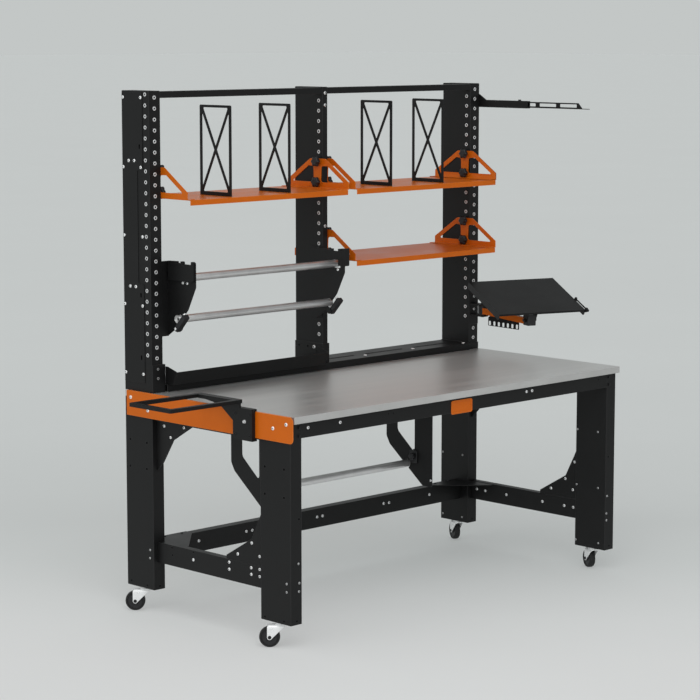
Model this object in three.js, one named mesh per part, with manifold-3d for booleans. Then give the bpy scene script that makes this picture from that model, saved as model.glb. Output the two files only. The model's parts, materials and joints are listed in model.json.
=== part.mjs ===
// Assembly table on casters: folded-steel bench with a steel worktop, a rear
// superstructure of perforated uprights, shelves with sliding dividers, roll
// holders, a bag ring on the side rail, a tilting tray and a telescopic boom.
// Millimetres, +Z up. Construction frame: x = 0 on the outer face of the left
// legs, y = 0 on the bolt-hole line of the uprights (+Y to the rear), z = 0 on
// the floor. The finished group is moved so that its origin is the middle of
// the bottom of its bounding box.
import * as THREE from 'three';
import { mergeVertices } from 'three/addons/utils/BufferGeometryUtils.js';
import Module from 'manifold-3d';

const wasm = await Module();
wasm.setup();

// ---- driving dimensions -------------------------------------------------
const GAP = 0.3;                    // air between pieces that touch
const SHEET = 2.5;                  // folded sheet steel
const LEG_W = 53.5;                 // leg section along X
const LEG_D = 156;                  // leg section along Y
const LEG_X = [0, 1728.8];          // outer/inner -X faces, left and right
const LEG_Y = [-770.8, -22];        // -Y faces, front and rear
const LEG_Z = [92, 813.7];
const TOP_X = [0, 1782.3];          // worktop
const TOP_Y = [-791, 134];
const TOP_Z = [814, 839];
const APRON_Z = [757.5, 813.7];
const LOW_BEAM_Z = [197, 275];
const REAR_BEAM_Z = [193.5, 270.5];
const SIDE_BEAM_Z = [735.3, 813.7];
const UP_TOP = 1950;                // top of the uprights
const FOOT_TOP = 943;               // top of the upright sleeves
const MID_X = [877, 903];           // middle upright
const SHELF_Y = [-169, 175];
const SHELF_Z = [1538, 1558];
const SHELF_DROP = 280;             // lower right shelf below the upper one
const DIV_Y = [-137, 36];
const DIV_Z = [1558.4, 1895];
const DIV_X = [297, 596, 1146, 1443];
const TUBE_R = 14.5;
const ROLL_UP = [-120, 1270];       // y, z of the upper roll tube
const ROLL_LOW = [-92, 1116];       // y, z of the lower roll tube
const ROLL_UNDER = [-484, 524];     // y, z of the tube below the table
const WHEEL_R = 37.5;
const TRAIL = 42;
const TRAIL_LEFT = [-0.722, 0.692];
const TRAIL_RIGHT = [0.42, 0.9075];
const TRAY_C = [1840.7, -244.1, 1074.1];
const TRAY_TURN = 20;               // tray faces 20 degrees to the left
const TRAY_TILT = 21;
const TRAY_W = 402, TRAY_D = 297;
const HEAD = [1790, -305, 984];     // tilt pin of the tray
const PIVOT = [1755, -75];          // swivel pin of the tray arm

// ---- materials ------------------------------------------------------------
const mat = (color, roughness, metalness) => new THREE.MeshStandardMaterial({ color, roughness, metalness });
const black = () => mat(0x2a2a2a, 0.55, 0.1);
const orange = () => mat(0xcd6216, 0.45, 0.05);
const steelTop = () => mat(0xa5a5a3, 0.38, 0.85);
const zinc = () => mat(0xb9bcbd, 0.32, 0.95);
const rubber = () => mat(0x1b1b1c, 0.8, 0);
const plastic = () => mat(0x1f1f20, 0.5, 0);

// ---- geometry helpers -------------------------------------------------------
const bare = (g) => {
  const c = g.clone();
  for (const k of Object.keys(c.attributes)) if (k !== 'position') c.deleteAttribute(k);
  return mergeVertices(c, 1e-4);
};
const solid = (g) => {
  if (!(g instanceof THREE.BufferGeometry)) return g;
  const b = bare(g);
  return new wasm.Manifold(new wasm.Mesh({
    numProp: 3,
    vertProperties: new Float32Array(b.attributes.position.array),
    triVerts: new Uint32Array(b.index.array),
  }));
};
const geometry = (s) => {
  if (s instanceof THREE.BufferGeometry) return s;
  const m = s.getMesh();
  const g = new THREE.BufferGeometry();
  g.setAttribute('position', new THREE.BufferAttribute(new Float32Array(m.vertProperties), 3));
  g.setIndex(new THREE.BufferAttribute(new Uint32Array(m.triVerts), 1));
  g.computeVertexNormals();
  return g;
};
const join = (...gs) => gs.map(solid).reduce((a, b) => a.add(b));
const cut = (g, ...tools) => tools.map(solid).reduce((a, b) => a.subtract(b), solid(g));

const box = (x0, x1, y0, y1, z0, z1) =>
  new THREE.BoxGeometry(x1 - x0, y1 - y0, z1 - z0).translate((x0 + x1) / 2, (y0 + y1) / 2, (z0 + z1) / 2);

// outline with optional corner radii: [u, v] or [u, v, r]
const outline = (pts, steps = 3) => {
  const out = [];
  pts.forEach((p, i) => {
    const r = p[2] || 0;
    const P = new THREE.Vector2(p[0], p[1]);
    if (!r) { out.push(P); return; }
    const A = pts[(i + pts.length - 1) % pts.length], B = pts[(i + 1) % pts.length];
    const a = new THREE.Vector2(A[0], A[1]).sub(P).normalize();
    const b = new THREE.Vector2(B[0], B[1]).sub(P).normalize();
    const half = Math.acos(Math.max(-1, Math.min(1, a.dot(b)))) / 2;
    const t = r / Math.tan(half);
    const s = P.clone().addScaledVector(a, t), e = P.clone().addScaledVector(b, t);
    const c = P.clone().addScaledVector(a.clone().add(b).normalize(), r / Math.sin(half));
    const a0 = Math.atan2(s.y - c.y, s.x - c.x);
    let d = Math.atan2(e.y - c.y, e.x - c.x) - a0;
    while (d > Math.PI) d -= 2 * Math.PI;
    while (d < -Math.PI) d += 2 * Math.PI;
    for (let k = 0; k <= steps; k++) out.push(new THREE.Vector2(c.x + r * Math.cos(a0 + d * k / steps), c.y + r * Math.sin(a0 + d * k / steps)));
  });
  return out;
};
const circle = (u, v, r, n = 16) => Array.from({ length: n }, (_, k) => [u + r * Math.cos(2 * Math.PI * k / n), v + r * Math.sin(2 * Math.PI * k / n)]);
const extrude = (pts, holes, depth) => {
  const o = outline(pts);
  if (THREE.ShapeUtils.isClockWise(o)) o.reverse();
  const s = new THREE.Shape(o);
  for (const h of holes) s.holes.push(new THREE.Path(outline(h)));
  return new THREE.ExtrudeGeometry(s, { depth, bevelEnabled: false, steps: 1 });
};
const basis = (ex, ey, ez, o) => new THREE.Matrix4().makeBasis(new THREE.Vector3(...ex), new THREE.Vector3(...ey), new THREE.Vector3(...ez)).setPosition(...o);
// plates by their outline: YZ along X, XZ along Y, XY along Z
const plateX = (pts, x0, x1, holes = []) => extrude(pts, holes, x1 - x0).applyMatrix4(basis([0, 1, 0], [0, 0, 1], [1, 0, 0], [x0, 0, 0]));
const plateY = (pts, y0, y1, holes = []) => extrude(pts, holes, y1 - y0).applyMatrix4(basis([1, 0, 0], [0, 0, 1], [0, -1, 0], [0, y1, 0]));
const plateZ = (pts, z0, z1, holes = []) => extrude(pts, holes, z1 - z0).translate(0, 0, z0);
const rect = (u0, u1, v0, v1) => [[u0, v0], [u1, v0], [u1, v1], [u0, v1]];
const rodX = (y, z, r, x0, x1, n = 16) => plateX(circle(y, z, r, n), x0, x1);
const rodY = (x, z, r, y0, y1, n = 16) => plateY(circle(x, z, r, n), y0, y1);
const rodZ = (x, y, r, z0, z1, n = 20) => plateZ(circle(x, y, r, n), z0, z1);
const pipeX = ([y, z], r, wall, x0, x1, n = 20) => plateX(circle(y, z, r, n), x0, x1, [circle(y, z, r - wall, n)]);

const table = new THREE.Group();
const add = (name, g, material) => {
  const m = new THREE.Mesh(geometry(g), material);
  m.name = name;
  table.add(m);
  return m;
};

// ---- worktop, legs and frame ------------------------------------------------
// the strip under the superstructure lies 0.2 mm lower, so the working face is clear from edge to edge
const REAR_STRIP = -36.6;
add('worktop', cut(box(...TOP_X, ...TOP_Y, ...TOP_Z), box(TOP_X[0] - 1, TOP_X[1] + 1, REAR_STRIP, TOP_Y[1] + 1, TOP_Z[1] - 0.2, TOP_Z[1] + 1)), steelTop());

const leg = (x, y) => cut(box(x, x + LEG_W, y, y + LEG_D, ...LEG_Z),
  box(x + SHEET, x + LEG_W - SHEET, y + SHEET, y + LEG_D - SHEET, LEG_Z[0] + 4, LEG_Z[1] + 5));
const corners = [
  ['front_left', LEG_X[0], LEG_Y[0], TRAIL_LEFT],
  ['front_right', LEG_X[1], LEG_Y[0], TRAIL_RIGHT],
  ['rear_left', LEG_X[0], LEG_Y[1], TRAIL_LEFT],
  ['rear_right', LEG_X[1], LEG_Y[1], TRAIL_RIGHT],
];
for (const [n, x, y] of corners) add(`leg_${n}`, leg(x, y), black());

const innerX = [LEG_X[0] + LEG_W + GAP, LEG_X[1] - GAP];
const innerY = [LEG_Y[0] + LEG_D + GAP, LEG_Y[1] - GAP];
// channel section: web at u0, flanges to u1, between v0 and v1
const channel = (u0, u1, v0, v1) => {
  const s = Math.sign(u1 - u0) * SHEET;
  return [[u0, v0], [u1, v0], [u1, v0 + SHEET], [u0 + s, v0 + SHEET], [u0 + s, v1 - SHEET], [u1, v1 - SHEET], [u1, v1], [u0, v1]];
};
add('apron_front', plateX(channel(-770.8, -740, ...APRON_Z), ...innerX), black());
add('apron_rear', plateX(channel(134, 103, ...APRON_Z), ...innerX), black());
add('top_beam_left', plateY(channel(12, 42, ...SIDE_BEAM_Z), ...innerY), black());
add('top_beam_right', plateY(channel(1740, 1770, ...SIDE_BEAM_Z), ...innerY), black());
add('low_beam_left', plateY(channel(20, 50, ...LOW_BEAM_Z), ...innerY), black());
add('low_beam_right', plateY(channel(1749, 1779, ...LOW_BEAM_Z), ...innerY), black());
add('low_beam_rear', plateX(channel(20, 60, ...REAR_BEAM_Z), ...innerX), black());

const gussetLow = [[innerY[0], LOW_BEAM_Z[1] + GAP], [-408, LOW_BEAM_Z[1] + GAP], [-408, 289], [-544, 368], [-586, 450], [innerY[0], 508]];
const gussetTop = [[innerY[1], SIDE_BEAM_Z[0] - GAP], [-228, SIDE_BEAM_Z[0] - GAP], [-121, 673], [-62, 583], [innerY[1], 545]];
add('gusset_low_left', plateX(gussetLow, 20, 23), black());
add('gusset_low_right', plateX(gussetLow, 1749, 1752), black());
add('gusset_top_left', plateX(gussetTop, 20, 23), black());
add('gusset_top_right', plateX(gussetTop, 1749, 1752), black());

// accessory rail along the left side: C section with its web outside
add('side_rail', join(
  plateX([[-795, 745, 16], [115, 745], [115, 839], [-795, 839, 16]], -10, -7.5),
  box(-8, -GAP, -777, 115, 745, 747.5),
  box(-8, -GAP, -777, 115, 836.5, 839)), orange());

// ---- casters ---------------------------------------------------------------------
const WHEEL_SIDES = 28;
const wheelProfile = [[4.6, -13.4], [11, -13.4], [12.5, -11], [33.5, -12], [WHEEL_R, -7], [WHEEL_R, 7], [33.5, 12], [12.5, 11], [11, 13.4], [4.6, 13.4], [4.6, -13.4]];
// one flat of the faceted tread lies on the floor
const wheelShape = () => new THREE.LatheGeometry(wheelProfile.map((p) => new THREE.Vector2(...p)), WHEEL_SIDES).rotateY(Math.PI / WHEEL_SIDES);
const forkShape = () => {
  const cheek = [[-11, 80], [TRAIL + 9, 80, 5], [TRAIL + 9, 29, 8], [TRAIL - 9, 29, 8], [-11, 74]];
  return join(
    rodZ(0, 0, 23, 83.5, 91.6, 24),
    plateZ([[-20, -18, 6], [TRAIL + 5, -18, 3], [TRAIL + 5, 18, 3], [-20, 18, 6]], 79.4, 83.8),
    plateY(cheek, 15, 17.5), plateY(cheek, -17.5, -15),
    rodY(TRAIL, WHEEL_R, 4, -17, 17, 14),
    rodY(TRAIL, WHEEL_R, 7, 17, 21, 6), rodY(TRAIL, WHEEL_R, 7, -21, -17, 6));
};
for (const [n, x, y, t] of corners) {
  const m = basis([t[0], t[1], 0], [-t[1], t[0], 0], [0, 0, 1], [x + LEG_W / 2, y + LEG_D / 2, 0]);
  add(`caster_fork_${n}`, geometry(forkShape()).applyMatrix4(m), zinc());
  const w = wheelShape().translate(TRAIL, 0, WHEEL_R).applyMatrix4(m);
  add(`caster_wheel_${n}`, bare(w), rubber());
}

// ---- superstructure -------------------------------------------------------------
const UP_Y = [LEG_Y[1], LEG_Y[1] + LEG_D];
const upright = (x0, x1, z0, fx0, fx1, footTop = FOOT_TOP) => {
  const inner = rect(x0 + SHEET, x1 - SHEET, UP_Y[0] + SHEET, UP_Y[1] - SHEET);
  return join(plateZ(rect(x0, x1, ...UP_Y), z0, UP_TOP, [inner]),
    plateZ(rect(fx0, fx1, UP_Y[0] - 5, UP_Y[1]), z0, footTop, [inner]));
};
add('upright_left', upright(LEG_X[0], LEG_X[0] + LEG_W, TOP_Z[1] + GAP, 0, 62), black());
add('upright_middle', upright(...MID_X, 867 + GAP, 872, 908), black());
add('upright_right', upright(LEG_X[1], LEG_X[1] + LEG_W, TOP_Z[1] + GAP, 1720.3, 1782.3, 867), black());

const hat = (y0, y1, z0, z1, t) => [[y0, z0], [y0, z1], [y1, z1], [y1, z0], [y1 - t, z0], [y1 - t, z1 - t], [y0 + t, z1 - t], [y0 + t, z0]];
add('top_rail_left', plateX(hat(-21.7, 18, 1925, 1949, SHEET), LEG_W + GAP, MID_X[0] - GAP), black());
add('top_rail_right', plateX(hat(-21.7, 18, 1925, 1949, SHEET), MID_X[1] + GAP, LEG_X[1] - GAP), black());
add('base_channel', plateX(hat(-36, 127, TOP_Z[1] + GAP, 867, SHEET), 62.3, 1720), black());

// open parts trough in front of the left bay
const TROUGH_X = [64, 845];
const troughWall = [[-24, 900], [-24, 867.4], [-67, 867.4], [-88.5, 917], [-86.4, 917.8], [-65.7, 869.4], [-26, 869.4], [-26, 900]];
const troughEnd = [[-24, 867.4], [-67, 867.4], [-88.5, 917], [-86, 920], [-37, 934], [-24, 934]];
add('parts_trough', join(plateX(troughWall, ...TROUGH_X), plateX(troughEnd, TROUGH_X[0], TROUGH_X[0] + 2), plateX(troughEnd, TROUGH_X[1] - 2, TROUGH_X[1])), black());

// ---- shelves, brackets and dividers ------------------------------------------------
const shelf = (x0, x1, dz) => plateX(hat(...SHELF_Y, SHELF_Z[0] - dz, SHELF_Z[1] - dz, 2), x0, x1);
add('shelf_left', shelf(70, 873.2, 0), orange());
add('shelf_right_upper', shelf(922, 1725, 0), orange());
// its two ends lie 0.2 mm lower under the bracket feet
const lowerTop = SHELF_Z[1] - SHELF_DROP;
add('shelf_right_lower', cut(shelf(922, 1725, SHELF_DROP),
  box(921, 945.4, SHELF_Y[0] - 1, SHELF_Y[1] + 1, lowerTop - 0.2, lowerTop + 1),
  box(1689.6, 1726, SHELF_Y[0] - 1, SHELF_Y[1] + 1, lowerTop - 0.2, lowerTop + 1)), orange());

const shelfBracket = (x0, x1, f0, f1, dz, hub) => {
  const z = SHELF_Z[1] + GAP - dz;
  const p = (y, h) => [y, z + h];
  const body = [p(-169, 0), p(175, 0), p(175, 28), [...p(45, 114), 8], [...p(-41, 114), 8], p(-169, 28)];
  const front = [[...p(-147, 22), 3], [...p(-14, 22), 9], [...p(-17, 85), 9], [...p(-52, 86), 5]];
  const rear = [[...p(150, 22), 3], [...p(25, 22), 9], [...p(27, 84), 9], [...p(54, 86), 5]];
  return join(plateX(body, x0, x1, [front, rear]), box(f0, f1, -167, 173, z, z + 2.5),
    ...(hub ? [box(hub, x0 + 1, -13, 13, z + 8, z + 112)] : []));
};
add('bracket_left_a', shelfBracket(54, 57, 54, 92, 0), orange());
add('bracket_left_b', shelfBracket(873.7, 876.7, 838, 876.7, 0), orange());
add('bracket_right_upper_a', shelfBracket(910.5, 913.5, 910.5, 945, 0, 903.3), orange());
add('bracket_right_upper_b', shelfBracket(1725.5, 1728.5, 1690, 1728.5, 0), orange());
add('bracket_right_lower_a', shelfBracket(910.5, 913.5, 910.5, 945, SHELF_DROP, 903.3), orange());
add('bracket_right_lower_b', shelfBracket(1725.5, 1728.5, 1690, 1728.5, SHELF_DROP), orange());

const divider = (x) => {
  const [y0, y1, z0, z1] = [DIV_Y[0] + 9.5, DIV_Y[1] - 9.5, DIV_Z[0] + 14, DIV_Z[1] - 9.5];
  const w = y1 - y0, h = z1 - z0, l = Math.hypot(w, h), t = 4.1;
  const cy = (y0 + y1) / 2, cz = (z0 + z1) / 2, a = t * l / w, b = t * l / h;
  const holes = [
    [[y0, z0 + a, 4], [cy - b, cz, 4], [y0, z1 - a, 4]],
    [[y1, z0 + a, 4], [y1, z1 - a, 4], [cy + b, cz, 4]],
    [[y0 + b, z0, 4], [y1 - b, z0, 4], [cy, cz - a, 4]],
    [[y0 + b, z1, 4], [cy, cz + a, 4], [y1 - b, z1, 4]],
  ];
  return plateX([[DIV_Y[0], DIV_Z[0]], [DIV_Y[1], DIV_Z[0]], [DIV_Y[1], DIV_Z[1], 5], [DIV_Y[0], DIV_Z[1], 5]], x - 3.2, x + 3.2, holes);
};
DIV_X.forEach((x, i) => add(`divider_${i + 1}`, divider(x), black()));

// ---- roll holder in the left bay -----------------------------------------------------
// the lower tube lies in a slot open to the slanting front edge, closed by a clip
const A = [0.678, -0.735], B = [-0.735, -0.678];      // along the edge, out of the edge
const CLIP_C = [-109, 1100];
const CLIP_P = [CLIP_C[0] + 26 * A[0], CLIP_C[1] + 26 * A[1]];
const along = (o, a, b) => [o[0] + a * A[0] + b * B[0], o[1] + a * A[1] + b * B[1]];
const NOTCH = [-162, -116, -104, -82];
const rollBracket = (p0, p1, w0, w1, f0, f1, housing, holeX0, holeX1, pin0, pin1, extra) => {
  const edge = [-134, 1152];
  const web = [[-17, 1326], [-175, 1330], [-178, 1326], [-178, 1238, 10], edge,
    along(edge, 72, 0), [...along(edge, 72, 26), 7], [...along(edge, 92, 26), 7], along(edge, 92, 0), [-66, 1078], [-17, 1046]];
  const slot = [along(ROLL_LOW, -TUBE_R - 0.7, 0), along(ROLL_LOW, -TUBE_R - 0.7, 40), along(ROLL_LOW, TUBE_R + 0.7, 40), along(ROLL_LOW, TUBE_R + 0.7, 0)];
  return join(
    cut(join(plateX(web, p0, p1), box(w0, w1, -20, -16.5, 1046, 1326), box(f0, f1, -20, 44, 1046, 1326),
      housing),
      rodX(...ROLL_UP, TUBE_R + 0.7, holeX0, holeX1, 20), ...extra,
      rodX(...ROLL_LOW, TUBE_R + 0.7, p0 - 1, p1 + 1, 20), plateX(slot, p0 - 1, p1 + 1),
      box(p0 - 12, p1 + 1, NOTCH[0], NOTCH[1], 1320, 1340), box(p0 - 12, p1 + 1, NOTCH[2], NOTCH[3], 1323, 1340)),
    rodX(...CLIP_P, 3, pin0, pin1, 12));
};
add('roll_bracket_left', rollBracket(83, 86, 54, 86, 54, 57,
  plateX([[-174, 1257, 8], [-32, 1257, 4], [-32, 1328], [-174, 1332]], 74, 83.5), 77.5, 90, 56.5, 85, []), black());
add('roll_bracket_right', rollBracket(844, 847, 844, 876.7, 873.7, 876.7,
  plateX([[-178, 1262, 6], [-137, 1262, 4], [-137, 1328], [-178, 1331]], 846.5, 870.5), 842, 849, 845, 873,
  [box(842, 849, -154, -120, ROLL_UP[1] - TUBE_R - 0.7, ROLL_UP[1] + TUBE_R + 0.7)]), black());
add('roll_tube_upper', pipeX(ROLL_UP, TUBE_R, 2, 79, 866), zinc());
add('roll_tube_lower', pipeX(ROLL_LOW, TUBE_R, 2, 65, 852), zinc());
const clip = (x0, x1) => plateX([[...along(CLIP_C, -42, -8), 3], [...along(CLIP_C, 34, -8), 4], [...along(CLIP_C, 34, 10), 4], [...along(CLIP_C, -42, 10), 4]], x0, x1, [circle(...CLIP_P, 3.5, 12)]);
add('tube_clip_left', clip(58.8, 82.4), plastic());
add('tube_clip_right', clip(847.6, 871.6), plastic());

// ---- roll holder below the table ---------------------------------------------------------
const armOutline = [[-370, 813.5], [-370, 618, 26], [-388, 587, 16], [-564, 446, 14], [-612, 446, 8], [-612, 813.5]];
const armHole = [[-427, 772, 12], [-427, 646, 24], [-521, 566, 9], [-521, 772, 12]];
const N = [0.626, -0.78], M = [0.78, 0.626];
const armSlot = [[-1, 0], [-1, 40], [1, 40], [1, 0]].map(([s, d]) => [ROLL_UNDER[0] + s * (TUBE_R + 0.7) * M[0] + d * N[0], ROLL_UNDER[1] + s * (TUBE_R + 0.7) * M[1] + d * N[1]]);
const arm = (x) => cut(plateX(armOutline, x, x + 4, [armHole]), rodX(...ROLL_UNDER, TUBE_R + 0.7, x - 1, x + 5, 20), plateX(armSlot, x - 1, x + 5));
const cradle = [[-26, -24], [-26, 10.4], [26, 10.4], [26, -24]].map(([a, d]) => [ROLL_UNDER[0] + a * M[0] + d * N[0], ROLL_UNDER[1] + a * M[1] + d * N[1], 4]);
add('under_arm_left', join(plateX(armOutline, 80, 84, [armHole]),
  cut(plateX(cradle, 83.5, 92), rodX(...ROLL_UNDER, TUBE_R + 0.7, 84.2, 93, 20), plateX(armSlot, 84.2, 93))), black());
add('under_arm_right', arm(883), black());
add('under_tube', pipeX(ROLL_UNDER, TUBE_R, 2, 84.8, 899), zinc());

// ---- bag ring on the side rail ---------------------------------------------------------------
add('bag_holder', join(
  plateZ([[-346, -538, 5], [-12, -538, 5], [-12, -312, 5], [-346, -312, 5]], 862.8, 876, [rect(-328, -44, -520, -330)]),
  box(-26, -10.6, -601, -500, 733, 848),
  box(-26, -2.5, -601, -500, 839.6, 848),
  box(-26, -2.5, -601, -500, 733, 744.4),
  plateX([[-536, 847], [-536, 800], [-502, 797], [-441, 840], [-396, 852.5], [-318, 863.2], [-536, 863.2]], -26, -19)), black());

// ---- tilting tray on a swivel arm -------------------------------------------------------------
add('tray_bracket', join(
  plateY(rect(1730, 1781, 944, 1080), -25.3, -22.3),
  plateZ([[1733, -24], [1777, -24], [1777, -97, 16], [1733, -97, 16]], 981, 987),
  plateZ([[1733, -24], [1777, -24], [1777, -97, 16], [1733, -97, 16]], 1027, 1033),
  rodZ(...PIVOT, 8, 983, 1031, 16)), black());
const rad = Math.PI / 180;
const tU = [Math.cos(TRAY_TURN * rad), -Math.sin(TRAY_TURN * rad), 0];
const tR = [Math.sin(TRAY_TURN * rad), Math.cos(TRAY_TURN * rad), 0];
const ct = Math.cos(TRAY_TILT * rad), st = Math.sin(TRAY_TILT * rad);
const tV = [tR[0] * ct, tR[1] * ct, st];
const tN = new THREE.Vector3(...tU).cross(new THREE.Vector3(...tV)).toArray();
const armVec = [HEAD[0] - PIVOT[0], HEAD[1] - PIVOT[1]];
const armLen = Math.hypot(...armVec);
const aE = [armVec[0] / armLen, armVec[1] / armLen, 0];
// the arm falls towards the head
const beam = plateZ([[0, -16.5], [armLen - 10, -9], [armLen - 10, 9], [0, 16.5]], 993.5, 1019.5)
  .applyMatrix4(basis([aE[0], aE[1], -0.13], [-aE[1], aE[0], 0], [0, 0, 1], [...PIVOT, 0]));
const headM = basis(tU, tR, [0, 0, 1], HEAD);
add('tray_arm', cut(join(rodZ(...PIVOT, 17, 987.6, 1026.4, 24), beam,
  geometry(box(-18.5, 18.5, -20, 20, -20, 20)).applyMatrix4(headM),
  rodX(0, 0, 5, -28, 28, 14).applyMatrix4(headM)), rodZ(...PIVOT, 8.5, 970, 1040, 16)), orange());
const hu = (HEAD[0] - TRAY_C[0]) * tU[0] + (HEAD[1] - TRAY_C[1]) * tU[1];
const hd = [HEAD[0] - TRAY_C[0], HEAD[1] - TRAY_C[1], HEAD[2] - TRAY_C[2]];
const hv = hd[0] * tV[0] + hd[1] * tV[1] + hd[2] * tV[2];
const hn = hd[0] * tN[0] + hd[1] * tN[1] + hd[2] * tN[2];
const ear = (x0, x1) => plateX([[hv - 20, -1], [hv + 18, -1], [hv + 10, hn - 9, 6], [hv - 11, hn - 9, 6]], x0, x1, [circle(hv, hn, 5.6, 14)]);
const tw = TRAY_W / 2, td = TRAY_D / 2;
const sideFlange = [[-td, -1], [td, -1], [td, -28, 4], [-td + 6, -28, 3], [-td, -21, 3]];
const trayBody = join(
  box(-tw, tw, -td, td, -3, 0),
  box(-tw, tw, -td, -td + 2, -9, -1), box(-tw, tw, td - 2, td, -12, -1),
  plateX(sideFlange, -tw, -tw + 2), plateX(sideFlange, tw - 2, tw),
  ear(hu + 20, hu + 23), ear(hu - 23, hu - 20));
add('tilt_tray', geometry(trayBody).applyMatrix4(basis(tU, tV, tN, TRAY_C)), black());

// ---- telescopic boom ---------------------------------------------------------------------------
add('boom_sleeve', join(
  plateX([[100, 1853], [100, 1914], [-10, 1914], [-61, 1883], [-286, 1883], [-286, 1853]], 1782.6, 1786),
  plateY(rect(1785.5, 1803, 1853, 1883), -286, 100, [rect(1788, 1800.5, 1855.5, 1880.5)])), black());
const barSlots = [[-436, -340], [-545, -449]].map(([a, b]) => [[a, 1862, 3], [b, 1862, 3], [b, 1875, 3], [a, 1875, 3]]);
barSlots.push([[-327, 1862, 3], [-262, 1862, 3], [-262, 1875, 3], [-327, 1875, 3]]);
add('boom_bar', plateX([[-208, 1856.1], [-208, 1879.9], [-546, 1879.9], [-566, 1858.6], [-604, 1858.3], [-604, 1856.1]], 1788.6, 1799.9, barSlots), black());

// ---- origin: middle of the bottom of the bounding box ---------------------------------------------
table.updateMatrixWorld(true);
const bounds = new THREE.Box3();
table.traverse((o) => { if (o.isMesh) { o.geometry.computeBoundingBox(); bounds.union(o.geometry.boundingBox); } });
table.position.set(-(bounds.min.x + bounds.max.x) / 2, -(bounds.min.y + bounds.max.y) / 2, -bounds.min.z);
table.updateMatrixWorld(true);

export default table;
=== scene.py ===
import json
import math

import bpy
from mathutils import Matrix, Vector
from mathutils.geometry import tessellate_polygon


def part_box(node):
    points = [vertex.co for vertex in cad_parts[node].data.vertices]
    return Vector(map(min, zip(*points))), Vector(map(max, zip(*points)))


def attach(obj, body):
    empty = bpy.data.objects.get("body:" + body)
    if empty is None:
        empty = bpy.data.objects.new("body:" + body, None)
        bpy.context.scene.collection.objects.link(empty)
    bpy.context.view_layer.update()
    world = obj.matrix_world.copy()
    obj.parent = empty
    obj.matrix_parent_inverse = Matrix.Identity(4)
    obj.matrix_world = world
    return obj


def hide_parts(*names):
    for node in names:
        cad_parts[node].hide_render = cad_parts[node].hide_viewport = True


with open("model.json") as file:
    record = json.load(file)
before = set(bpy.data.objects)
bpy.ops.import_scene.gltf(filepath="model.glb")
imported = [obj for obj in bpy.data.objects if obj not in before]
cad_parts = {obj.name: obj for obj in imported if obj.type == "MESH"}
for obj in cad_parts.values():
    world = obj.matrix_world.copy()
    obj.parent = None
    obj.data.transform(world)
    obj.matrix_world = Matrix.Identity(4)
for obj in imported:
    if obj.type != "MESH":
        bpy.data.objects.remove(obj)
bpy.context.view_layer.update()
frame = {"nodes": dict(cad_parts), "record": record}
nodes = frame["nodes"]

# Pieces are drawn in table millimetres: x from the outer face of the left legs,
# y from the nut row of the uprights (+ to the rear), z from the floor.
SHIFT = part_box("worktop")[0] - Vector((0.0, -0.791, 0.814))


def W(x, y, z):
    return Vector((x, y, z)) * 0.001 + SHIFT


# ---------------------------------------------------------------- camera
cam_data = bpy.data.cameras.new("camera")
cam_data.sensor_fit = "HORIZONTAL"
cam_data.sensor_width = 36.0
cam_data.lens = 120.43
cam_data.clip_start = 0.1
cam_data.clip_end = 600.0
cam = bpy.data.objects.new("camera", cam_data)
bpy.context.scene.collection.objects.link(cam)
cam.location = W(-5479.2, -6642.8, 2172.6)
cam.rotation_euler = (math.radians(90 - 7.79), 0.0, math.radians(-44.5))
bpy.context.scene.camera = cam


# ---------------------------------------------------------------- materials
def node(tree, kind, **inputs):
    n = tree.nodes.new(kind)
    for k, v in inputs.items():
        n.inputs[k.replace("_", " ")].default_value = v
    return n


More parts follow.
